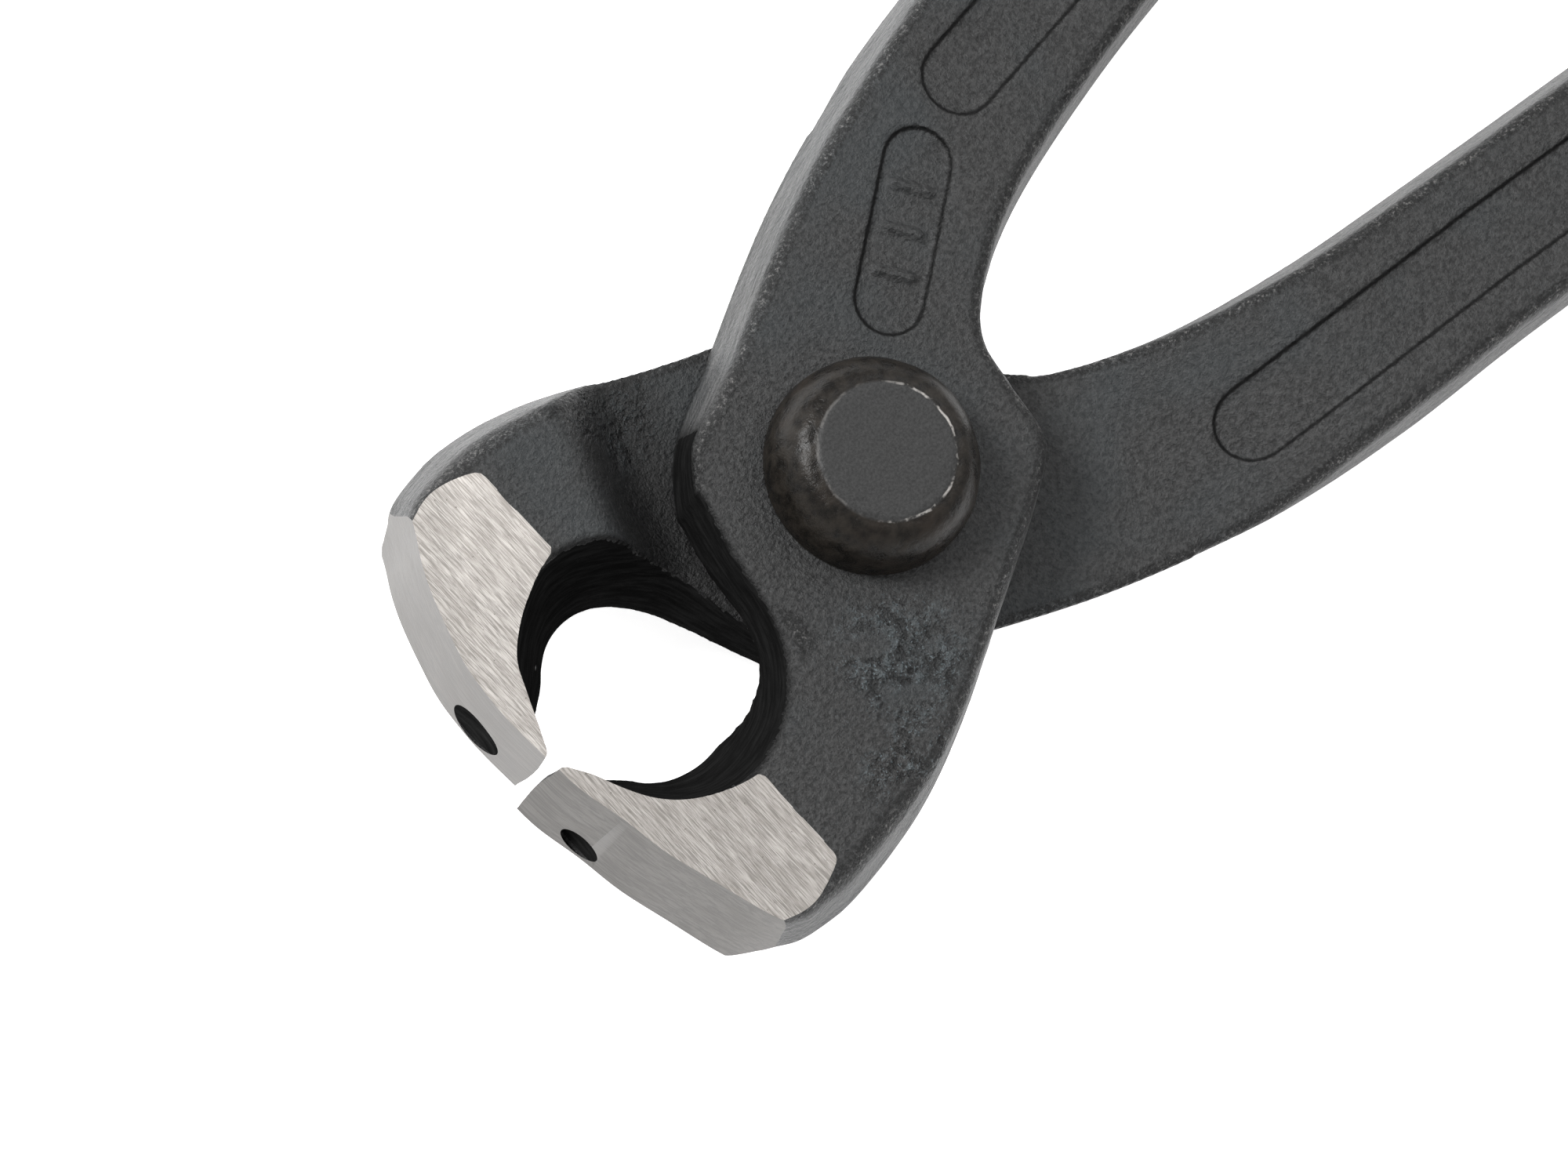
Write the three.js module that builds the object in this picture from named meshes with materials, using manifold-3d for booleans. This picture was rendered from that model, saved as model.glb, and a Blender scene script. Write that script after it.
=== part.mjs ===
// Ear-clamp pincers: two alike forged levers, turned face to face and held by one rivet.
//
// Millimetres. +X runs from the rivet to the jaw tips, +Z is the rivet's axis. The tool lies
// on its rear rivet head, whose flat is in the plane z = 0 with the origin at its centre.
// A lever is drawn once, with z = 0 in the mid-plane of the tool, as the front lever: its lap
// plate is above the mid-plane, its jaw on the +Y side and its handle on the -Y side.

import * as THREE from 'three';
import { mergeVertices } from 'three/addons/utils/BufferGeometryUtils.js';
import Module from 'manifold-3d';

const wasm = await Module();
wasm.setup();

// Rivet
const headHeight = 4.5;
const headRadius = 7.05;
const headFlatRadius = 4.5;
const shankRadius = 4.4;
const shankClearance = 0.06;
const headClearance = 0.05;

// Thicknesses, along Z
const plateThickness = 5.4;
const lapClearance = 0.1;
const handleThickness = 8.5;
const noseThickness = 9.0;

// Jaw, in the mid-plane
const jawReach = 29.0;
const jawHalfWidth = 19.5;
const noseCorner = new THREE.Vector2(2.2, 4.2);   // back from the reach and the half width
const backCorner = new THREE.Vector2(5.5, 0.6);   // the other end of the corner flat
const noseSag = [[0.3, 0.30], [1.0, 0.52]];       // back from the reach, share of the half width
const crestFall = new THREE.Vector2(0.6, 1.5);    // share of the crest's X, drop from the crest
const crestSetback = 10.2;
const tipGap = 0.66;
const facetLength = 9.6;

// Throat: an ellipse in the mid-plane that widens towards both faces
const throatSetback = 2.25;                       // from the plate's rim to the throat
const throatHalfLength = 5.55;
const throatHalfWidth = 6.4;
const throatFlare = 1.47;

// Lap plate and shoulder
const plateRadius = 11.8;
const plateRim = 1.3;                             // more metal on the side away from the throat
const plateBackSwell = new THREE.Vector2(0.62, 2.9);
const crotchDepth = new THREE.Vector2(1.8, 1.6);
const plateArcStart = THREE.MathUtils.degToRad(-75);
const plateArcEnd = THREE.MathUtils.degToRad(22);
const plateBackX = -11.9;
const plateBackHalfWidth = 7.0;
const shoulderClearance = 1.7;
const shoulderTurn = THREE.MathUtils.degToRad(21.4);
const shoulderSlope = 4.1;                        // how far the shoulder leans back

// Handle
const handleReach = 187.0;
const handleWidth = 13.0;
const handleEndOffset = 28.3;
const handleStart = new THREE.Vector2(-44.0, -16.7);
const handleSlope = 0.13;                         // dy/dx of the centre line at its start
// How the neck rises from the handle's two edges: ahead of handleStart, and inwards.
const neckInner = [[23.2, 4.6], [12.0, 1.8]];
const neckOuter = [[12.0, 1.1], [24.5, 3.2]];
const hip = new THREE.Vector2(-8.5, 4.9);         // its X, and how far it is past plateRadius
const rampStartX = -14.6;
const rampLength = 18.0;

// Recesses
const panelWidth = 5.0;
const panelDepth = 1.0;
const panelStart = new THREE.Vector2(-23.2, -14.6);
const panelEndMargin = 22.0;
const padCentre = new THREE.Vector2(-12.9, -9.7);
const padLength = 14.3;
const padWidth = 4.6;
const padDepth = 0.6;
const padTurn = THREE.MathUtils.degToRad(33.7);

// Forged edges: the side walls lean in towards both faces
const draft = 1.3;
const partingLand = 0.5;

const CURVE_SEGMENTS = 5;
const ROUND_SEGMENTS = 48;
const BEYOND = 40;                                // how far a cutting solid runs past its work

const throatCentreX = plateRadius + throatSetback + throatHalfLength;
const halfJaw = plateThickness + lapClearance / 2;
const zRear = headHeight + headClearance;
const zMid = zRear + halfJaw;
const zTop = 2 * zMid;

// ---- solids ---------------------------------------------------------------------------------

function solid(geometry) {
  geometry.deleteAttribute('normal');
  geometry.deleteAttribute('uv');
  const merged = mergeVertices(geometry, 1e-4);
  return new wasm.Manifold(new wasm.Mesh({
    numProp: 3,
    vertProperties: new Float32Array(merged.attributes.position.array),
    triVerts: new Uint32Array(merged.index.array),
  }));
}

function geometryOf(manifold) {
  const mesh = manifold.getMesh();
  const geometry = new THREE.BufferGeometry();
  geometry.setAttribute('position', new THREE.BufferAttribute(mesh.vertProperties, 3));
  geometry.setIndex(new THREE.BufferAttribute(mesh.triVerts, 1));
  geometry.computeVertexNormals();
  return geometry;
}

function polygon(points) {
  return new THREE.Shape(points.map(([x, y]) => new THREE.Vector2(x, y)));
}

// The same outline as plain points that are no closer to each other than spacing.
function spaced(shape, spacing) {
  const kept = [];
  for (const point of shape.extractPoints(CURVE_SEGMENTS).shape) {
    const near = kept.length > 0 && point.distanceTo(kept.at(-1)) < spacing;
    if (!near) kept.push(point);
  }
  while (kept.at(-1).distanceTo(kept[0]) < spacing) kept.pop();
  return new THREE.Shape(kept);
}

function prism(shape, low, high) {
  const geometry = new THREE.ExtrudeGeometry(spaced(shape, 0.02), {
    depth: high - low, bevelEnabled: false,
  });
  return geometry.translate(0, 0, low);
}

// A prism whose section is drawn in X and Z and which runs along Y.
function crossPrism(points, halfWidth) {
  return prism(polygon(points), -halfWidth, halfWidth).rotateX(Math.PI / 2);
}

function roundHole(radius, low, high) {
  const cylinder = new THREE.CylinderGeometry(radius, radius, high - low, ROUND_SEGMENTS);
  return cylinder.rotateX(Math.PI / 2).translate(0, 0, (low + high) / 2);
}

// ---- lever ----------------------------------------------------------------------------------

const handleEnd = new THREE.Vector2(-handleReach + handleWidth / 2, -handleEndOffset);
const bendX = (handleStart.x + handleEnd.x) / 2;
const handleLine = new THREE.QuadraticBezierCurve(
  handleStart,
  new THREE.Vector2(bendX, handleStart.y + handleSlope * (bendX - handleStart.x)),
  handleEnd,
);

// Points beside the handle's centre line; side is +1 for the inner edge and -1 for the outer.
function besideHandle(side, distance, from, to, count) {
  return Array.from({ length: count }, (_, i) => {
    const t = from + (to - from) * i / (count - 1);
    const along = handleLine.getTangent(t);
    return handleLine.getPoint(t).add(
      new THREE.Vector2(along.y, -along.x).multiplyScalar(side * distance));
  });
}

// The lever's outline in the mid-plane, counter-clockwise from the jaw tip. The throat is
// still filled in.
function leverOutline() {
  const half = handleWidth / 2;
  const crestX = jawReach - crestSetback;
  const neck = (rises, side) => rises.map(
    ([ahead, rise]) => [handleStart.x + ahead, handleStart.y + side * half + rise]);
  const spline = (shape, points) => shape.splineThru(
    points.map((p) => (p.isVector2 ? p : new THREE.Vector2(p[0], p[1]))));
  const shape = new THREE.Shape();
  shape.moveTo(jawReach, tipGap / 2);
  spline(shape, [
    ...noseSag.map(([back, share]) => [jawReach - back, jawHalfWidth * share]),
    [jawReach - noseCorner.x, jawHalfWidth - noseCorner.y],
  ]);
  shape.lineTo(jawReach - backCorner.x, jawHalfWidth - backCorner.y);
  spline(shape, [
    [crestX, jawHalfWidth],
    [crestX * crestFall.x, jawHalfWidth - crestFall.y],
    [0, plateRadius + plateRim],
    [plateBackX * plateBackSwell.x, plateBackHalfWidth + plateBackSwell.y],
    [plateBackX, plateBackHalfWidth],
  ]);
  spline(shape, [
    [plateBackX - crotchDepth.x / 4, plateBackHalfWidth / 3],
    [plateBackX - crotchDepth.x, -crotchDepth.y],
    ...neck(neckInner, 1),
    ...besideHandle(1, half, 0, 1, 6),
  ]);
  const endTurn = handleLine.getTangent(1).angle() - Math.PI / 2;
  shape.absarc(handleEnd.x, handleEnd.y, half, endTurn, endTurn + Math.PI, false);
  spline(shape, [
    ...besideHandle(-1, half, 0.8, 0, 5),
    ...neck(neckOuter, -1),
    [hip.x, -plateRadius - hip.y],
    [plateRadius * Math.cos(plateArcStart), plateRadius * Math.sin(plateArcStart)],
  ]);
  shape.absarc(0, 0, plateRadius, plateArcStart, plateArcEnd, false);
  shape.lineTo(throatCentreX - throatHalfLength, throatHalfWidth * 0.8);
  shape.lineTo(throatCentreX - throatHalfLength * 0.9, tipGap / 2);
  return shape;
}

// Everything the outline is extruded through, with the side walls leaning in.
function forgedBlank() {
  const bevel = halfJaw - partingLand / 2;
  const geometry = new THREE.ExtrudeGeometry(spaced(leverOutline(), 1.2 * draft), {
    depth: partingLand,
    bevelEnabled: true,
    bevelThickness: bevel,
    bevelSize: draft,
    bevelOffset: -draft,
    bevelSegments: 3,
  });
  return solid(geometry.translate(0, 0, -partingLand / 2));
}

// Lap plate and handle seen from the side; inset thins them on both faces.
function sideEnvelope(inset) {
  const half = handleThickness / 2;
  const rampEndX = rampStartX - rampLength;
  return solid(crossPrism([
    [jawReach, lapClearance / 2 + inset],
    [jawReach, halfJaw - inset],
    [rampStartX, halfJaw - inset],
    [rampEndX, half - inset],
    [-handleReach - BEYOND, half - inset],
    [-handleReach - BEYOND, -half + inset],
    [rampEndX, -half + inset],
    [rampStartX, lapClearance / 2 + inset],
  ], handleReach));
}

// The full thickness of the jaw, ahead of its sloping shoulder.
function jawEnvelope() {
  const foot = plateRadius + shoulderClearance;
  const block = crossPrism([
    [foot, lapClearance / 2],
    [foot + shoulderSlope, -halfJaw],
    [jawReach + BEYOND, -halfJaw],
    [jawReach + BEYOND, halfJaw],
    [foot, halfJaw],
  ], jawReach + BEYOND);
  return solid(block.rotateZ(shoulderTurn));
}

// The ground facet on the upper face of the nose.
function facetCut(side) {
  const drop = (noseThickness / 2 - halfJaw) / facetLength;
  const startX = jawReach - facetLength;
  const cut = crossPrism([
    [startX, halfJaw],
    [startX + BEYOND, halfJaw + drop * BEYOND],
    [startX + BEYOND, halfJaw + BEYOND],
    [startX, halfJaw + BEYOND],
  ], jawHalfWidth + BEYOND);
  return solid(side > 0 ? cut : cut.rotateX(Math.PI));
}

// Half of the throat's double cone: narrow in the mid-plane, wide at the face.
function throatCut(side) {
  const height = halfJaw + 1;
  const flare = 1 + (throatFlare - 1) * height / halfJaw;
  const cone = new THREE.CylinderGeometry(flare, 1, height, ROUND_SEGMENTS);
  cone.translate(0, height / 2, 0).rotateX(side * Math.PI / 2);
  cone.scale(throatHalfLength, throatHalfWidth, 1);
  return solid(cone.translate(throatCentreX, 0, 0));
}

// A long round-ended slot along the handle, cut into both faces to panelDepth.
function panelCut() {
  const half = panelWidth / 2;
  const end = 1 - panelEndMargin / handleReach;
  const endCentre = handleLine.getPoint(end);
  const startTurn = handleStart.clone().sub(panelStart).angle() - Math.PI / 2;
  const endTurn = handleLine.getTangent(end).angle() - Math.PI / 2;
  const lineTo = (shape, points) => points.forEach((p) => shape.lineTo(p.x, p.y));
  const shape = new THREE.Shape();
  shape.absarc(endCentre.x, endCentre.y, half, endTurn, endTurn + Math.PI, false);
  lineTo(shape, besideHandle(-1, half, end, 0, 6));
  shape.absarc(panelStart.x, panelStart.y, half, startTurn + Math.PI, startTurn + 2 * Math.PI);
  lineTo(shape, besideHandle(1, half, 0, end, 6));
  const slot = solid(prism(shape, -BEYOND, BEYOND));
  return slot.subtract(sideEnvelope(panelDepth));
}

// The oval pad sunk into the outer face of the lap plate.
function padCut() {
  const half = padWidth / 2;
  const reach = padLength / 2 - half;
  const shape = new THREE.Shape();
  shape.absarc(reach, 0, half, -Math.PI / 2, Math.PI / 2, false);
  shape.absarc(-reach, 0, half, Math.PI / 2, Math.PI * 1.5, false);
  const oval = prism(shape, 0, BEYOND).rotateZ(padTurn);
  return solid(oval.translate(padCentre.x, padCentre.y, 0)).subtract(sideEnvelope(padDepth));
}

function leverSolid() {
  const cuts = [
    facetCut(1), facetCut(-1), throatCut(1), throatCut(-1), panelCut(), padCut(),
    solid(roundHole(shankRadius + shankClearance, -BEYOND, BEYOND)),
  ];
  const body = forgedBlank().intersect(sideEnvelope(0).add(jawEnvelope()));
  return cuts.reduce((rest, cut) => rest.subtract(cut), body);
}

// ---- rivet ----------------------------------------------------------------------------------

// One revolved profile: a domed head with a flat, the shank, and the same head again.
function rivetGeometry() {
  const dome = Array.from({ length: 9 }, (_, i) => {
    const angle = Math.PI / 2 * (1 - i / 8);
    return new THREE.Vector2(
      headFlatRadius + (headRadius - headFlatRadius) * Math.cos(angle),
      headHeight * (1 - Math.sin(angle)),
    );
  });
  const lower = [...dome, new THREE.Vector2(shankRadius, headHeight)];
  const upper = lower.map((p) => new THREE.Vector2(p.x, zTop - p.y)).reverse();
  const profile = [new THREE.Vector2(0, 0), ...lower, ...upper, new THREE.Vector2(0, zTop)];
  return new THREE.LatheGeometry(profile, ROUND_SEGMENTS).rotateX(Math.PI / 2);
}

// ---- assembly -------------------------------------------------------------------------------

const forgedBlack = { color: 0x4c4d4d, roughness: 0.55, metalness: 0.6 };
const rivetBlack = { color: 0x4a4744, roughness: 0.5, metalness: 0.7 };

function part(name, geometry, look) {
  const mesh = new THREE.Mesh(geometry, new THREE.MeshStandardMaterial(look));
  mesh.name = name;
  return mesh;
}

const leverGeometry = geometryOf(leverSolid());

const frontLever = part('front_lever', leverGeometry, forgedBlack);
frontLever.position.z = zMid;

const rearLever = part('rear_lever', leverGeometry.clone(), forgedBlack);
rearLever.position.z = zMid;
rearLever.rotation.x = Math.PI;

const rivet = part('rivet', rivetGeometry(), rivetBlack);

const pincers = new THREE.Group();
pincers.add(frontLever, rearLever, rivet);

export default pincers;
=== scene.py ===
import math

import bmesh
import bpy
import numpy as np
from mathutils import Matrix, Vector, noise

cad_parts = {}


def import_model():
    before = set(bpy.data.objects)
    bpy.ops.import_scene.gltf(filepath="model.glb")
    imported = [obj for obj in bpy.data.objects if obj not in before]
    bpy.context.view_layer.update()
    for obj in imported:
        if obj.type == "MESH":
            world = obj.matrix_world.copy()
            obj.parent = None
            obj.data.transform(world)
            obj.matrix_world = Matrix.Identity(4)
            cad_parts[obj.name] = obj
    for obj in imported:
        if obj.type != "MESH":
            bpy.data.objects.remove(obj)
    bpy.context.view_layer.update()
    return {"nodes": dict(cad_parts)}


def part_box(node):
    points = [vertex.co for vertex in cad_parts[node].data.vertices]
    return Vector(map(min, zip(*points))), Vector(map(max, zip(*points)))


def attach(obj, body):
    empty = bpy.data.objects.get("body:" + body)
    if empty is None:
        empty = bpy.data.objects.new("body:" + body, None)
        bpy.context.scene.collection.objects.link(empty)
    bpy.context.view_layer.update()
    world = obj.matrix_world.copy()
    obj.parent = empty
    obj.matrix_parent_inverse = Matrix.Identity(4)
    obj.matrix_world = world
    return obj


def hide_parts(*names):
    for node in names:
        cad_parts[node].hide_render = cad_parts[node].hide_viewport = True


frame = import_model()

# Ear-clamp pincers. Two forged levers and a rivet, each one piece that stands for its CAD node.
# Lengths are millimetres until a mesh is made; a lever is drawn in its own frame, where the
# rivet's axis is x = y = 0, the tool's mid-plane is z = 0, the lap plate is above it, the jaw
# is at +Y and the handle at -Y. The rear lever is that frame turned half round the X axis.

MM = 0.001


def millimetres(corner):
    return np.array(corner, float) / MM


LEVER_LOW, LEVER_HIGH = map(millimetres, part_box("front_lever"))
RIVET_LOW, RIVET_HIGH = map(millimetres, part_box("rivet"))
MID = (RIVET_LOW[2] + RIVET_HIGH[2]) / 2
FACE = LEVER_HIGH[2] - MID                  # outer face of jaw and lap plate
REACH = LEVER_HIGH[0]
HEAD_RADIUS = RIVET_HIGH[0]

# Lever sections, as in the CAD
LAP = LEVER_LOW[2] + FACE - MID + 0.05      # underside of the lap plate, half a gap above the middle
HANDLE_FACE = 4.25
RAMP_START, RAMP_END = -14.6, -32.6
SHOULDER_TURN = math.radians(21.4)
SHOULDER_FOOT, SHOULDER_TOP = 13.5, 17.6
FOOT_ROUND, TOP_ROUND = 0.35, 0.22          # roundings, as shares of the shoulder's run
BORE_RADIUS, SHANK_RADIUS = 4.46, 4.40

# Forged skin
DRAFT, JAW_DRAFT, THROAT_DRAFT = 0.22, 0.27, 0.05   # how far a side wall leans, per height
EDGE_ROUND, CROWN_ROUND, THROAT_ROUND, RIM_ROUND = 0.9, 1.7, 0.6, 0.4
PANEL_DEPTH, PAD_DEPTH, BORDER = 0.3, 0.32, 0.225   # a recess's border slopes this far each way
RIB_HALF_LENGTH, RIB_HALF_WIDTH, RIB_SPACING = 1.2, 0.3, 3.0
RIB_HEIGHT, RIB_BORDER = 0.34, 0.175
THROAT_FILLING = (19.0, 4.67), (8.1, 4.34)  # a box's centre and half size, filled before the throat is cut
PLATE_FRONT = (12.0, -2.2), (2.2, 3.4)      # the same, for the lap plate's square front
GRINDING_STOCK = 3.0                        # metal left on the nose for its cut

# Ground faces of the nose
FACET_LENGTH, FACET_DROP = 9.7, 0.95
POCKET_DEPTH, POCKET_LENGTH, POCKET_Y = 0.4, 2.1, 4.9
STEP_PITCH, STEP_DEPTH = 0.95, 0.11         # tool marks round the throat's wall
BEYOND = 8.0                                # how far a cutter reaches past the metal

FAR = 5.0                                   # a recorded distance too great to show

# What differs between the levers, which are alike forgings ground and trimmed by hand. "up" is
# which way the lever's z points in the tool. The throat's outline runs from the lap plate round
# to the tip, at the tool's upper face ("high") and its lower ("low"). The nose's runs from the
# tip to the jaw's corner, and "nose_lean" is how far it leans forward per height. "pocket" is
# half the height of the black hollow in the nose, and the height of its middle. "lobe" is the
# radius of the lap plate's front, "swell" what the jaw's back gains and "bend" how far the
# handle is moved to -Y. A crumple is a rough spot: x, y and how far it reaches.
FRONT = {
    "up": 1,
    "high": [(9.6, -6.0), (10.2, -4.0), (10.75, -2.0), (11.1, -0.4), (11.4, 1.3), (11.85, 2.95),
             (12.5, 4.5), (13.5, 5.9), (14.75, 7.15), (16.3, 8.1), (18.15, 8.8), (20.15, 9.0), (22.15, 8.5),
             (24.0, 7.5), (25.5, 6.05), (26.55, 4.2), (27.3, 2.3), (28.3, 0.2), (28.3, -3.0)],
    "low": [(10.6, -6.0), (11.2, -3.9), (11.45, -2.0), (11.5, -0.35), (11.5, 1.3), (12.0, 2.9),
            (12.8, 4.3), (13.9, 5.4), (15.3, 6.15), (16.85, 6.35), (18.25, 6.4), (19.6, 6.15),
            (20.85, 5.65), (21.9, 4.85), (22.75, 3.85), (24.3, 2.5), (26.0, 1.3), (27.5, 0.2),
            (27.5, -3.0)],
    "nose": [(28.6, -0.5), (28.45, 2.3), (27.75, 5.6), (27.2, 8.9), (26.2, 12.4), (25.1, 16.1),
             (24.05, 18.4), (22.9, 20.6)],
    "nose_lean": 0.12, "pocket": (1.4, -2.8), "lobe": 11.0, "swell": 0.55, "bend": 0.0,
    "crumples": [(7.3, 10.5, 5.0), (11.5, 16.0, 4.0)], "seed": 1.0,
}
REAR = {
    "up": -1,
    "high": [(10.6, -6.0), (11.0, -3.5), (11.1, -1.6), (11.05, -0.2), (10.95, 1.4), (11.05, 3.2),
             (11.7, 5.0), (13.3, 6.2), (15.0, 7.3), (16.4, 8.2), (18.2, 9.1), (20.25, 9.45),
             (22.3, 8.85), (24.25, 7.85), (25.95, 6.4), (26.9, 4.4), (27.7, 2.4), (28.5, 0.2),
             (28.5, -3.0)],
    "low": [(10.2, -6.4), (10.8, -4.7), (12.05, -1.9), (12.8, -0.2), (13.4, 1.1), (13.9, 2.2),
            (14.5, 3.15), (15.2, 4.05), (16.0, 4.85), (17.05, 5.55), (18.25, 5.9), (19.55, 5.85),
            (20.75, 5.45), (21.8, 4.7), (22.75, 3.8), (24.6, 2.6), (26.2, 1.4), (27.5, 0.2),
            (27.5, -3.0)],
    "nose": [(28.6, -0.5), (28.8, 3.1), (28.75, 5.4), (28.45, 8.0), (27.7, 10.6), (26.85, 13.0),
             (26.0, 14.8), (24.9, 16.6), (24.0, 18.4), (22.9, 20.6)],
    "nose_lean": 0.0, "pocket": (2.0, 2.3), "lobe": 11.6, "swell": -0.6, "bend": 0.35,
    "crumples": [(9.0, 14.0, 4.0)], "seed": 2.0,
}

TIP_GAP = 0.33                              # from a tip to the line between the two
STEP = 0.29                                 # grid step
FINE_FROM = -58.0                           # behind this the grid is ever coarser along the handle
COARSER, COARSEST = 1.03, 0.95              # by what ratio, and the longest step
FLAT_RADIUS = 4.5                           # of the flat on top of the rivet's dome
DOME_STEPS, RIVET_SIDES = 14, 160


# ---- plane outlines -------------------------------------------------------------------------

def cad_loops(height):
    """Closed loops, longest first, where the plane z = height cuts the CAD front lever."""
    cut = bmesh.new()
    cut.from_mesh(frame["nodes"]["front_lever"].data)
    bmesh.ops.remove_doubles(cut, verts=cut.verts, dist=1e-7)
    found = bmesh.ops.bisect_plane(
        cut, geom=cut.verts[:] + cut.edges[:] + cut.faces[:],
        plane_co=(0, 0, (height + MID) * MM), plane_no=(0, 0, 1))
    edges = [e for e in found["geom_cut"] if isinstance(e, bmesh.types.BMEdge)]
    loops = []
    while edges:
        edge = edges.pop()
        start, here = edge.verts
        loop = [start, here]
        while here != start:
            edge = next((e for e in here.link_edges if e in edges), None)
            if edge is None:
                break
            edges.remove(edge)
            here = edge.other_vert(here)
            loop.append(here)
        loops.append(np.array([v.co[:2] for v in loop]) / MM)
    cut.free()
    return sorted(loops, key=lambda p: -np.ptp(p[:, 0]))


def rounded(points, steps=6):
    """A Catmull-Rom curve through the points, as a finer list of points."""
    p = np.array(points, float)
    p = np.vstack([2 * p[0] - p[1], p, 2 * p[-1] - p[-2]])
    t = (np.arange(steps) / steps)[:, None]
    spans = []
    for a, b, c, d in zip(p, p[1:], p[2:], p[3:]):
        spans.append(b + 0.5 * t * (c - a + t * (2 * a - 5 * b + 4 * c - d + t * (3 * (b - c) + d - a))))
    return np.vstack(spans + [p[-2:-1]])


def signed_distance(loop, x, y):
    """Distance from each grid point to a closed loop, negative inside."""
    px, py = x.ravel(), y.ravel()
    best = np.full(px.shape, 1e9)
    inside = np.zeros(px.shape, bool)
    for (ax, ay), (bx, by) in zip(loop, np.roll(loop, -1, axis=0)):
        ex, ey = bx - ax, by - ay
        length = ex * ex + ey * ey
        if length < 1e-12:
            continue
        t = np.clip(((px - ax) * ex + (py - ay) * ey) / length, 0, 1)
        best = np.minimum(best, (px - ax - t * ex) ** 2 + (py - ay - t * ey) ** 2)
        if ay != by:
            inside ^= ((ay > py) != (by > py)) & (px < ax + ex * (py - ay) / ey)
    return (np.sqrt(best) * np.where(inside, -1, 1)).reshape(x.shape)


def blurred(field, sigma):
    """Gaussian blur along both axes; sigma is in grid steps."""
    reach = int(3 * sigma) + 1
    weights = np.exp(-0.5 * (np.arange(-reach, reach + 1) / sigma) ** 2)
    weights /= weights.sum()
    for axis in (0, 1):
        size = field.shape[axis]
        padded = np.pad(field, [(reach, reach) if a == axis else (0, 0) for a in (0, 1)], "edge")
        field = sum(w * np.take(padded, range(i, i + size), axis) for i, w in enumerate(weights))
    return field


def ramp(value, start, end):
    """Goes smoothly from 0 at start to 1 at end; end may be the lower of the two."""
    t = np.clip((value - start) / (end - start), 0, 1)
    return t * t * (3 - 2 * t)


def box_distance(x, y, centre, half_size):
    """Distance outside a box in the plane, negative inside."""
    return np.maximum(np.abs(x - centre[0]) - half_size[0], np.abs(y - centre[1]) - half_size[1])


def smooth_max(a, b, width):
    """The larger of two fields, with the corner between them rounded."""
    overlap = np.maximum(width - np.abs(a - b), 0) / width
    return np.maximum(a, b) + overlap * overlap * width / 4


# ---- the lever's fields ---------------------------------------------------------------------

def grid_axes():
    """The grid's x, y and z, in even steps except along the handle."""
    fine = np.arange(REACH + 8 * STEP, FINE_FROM, -STEP)
    coarse, x, step = [], fine[-1], STEP
    while x > LEVER_LOW[0] - 3:
        step = min(step * COARSER, COARSEST)
        x -= step
        coarse.append(x)
    y = np.arange(LEVER_LOW[1] - 3 * STEP, LEVER_HIGH[1] + 3 * STEP, STEP)
    z = np.arange(-FACE - 2.5 * STEP, FACE + 3 * STEP, STEP)
    return np.concatenate([fine, coarse])[::-1], y, z


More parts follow.
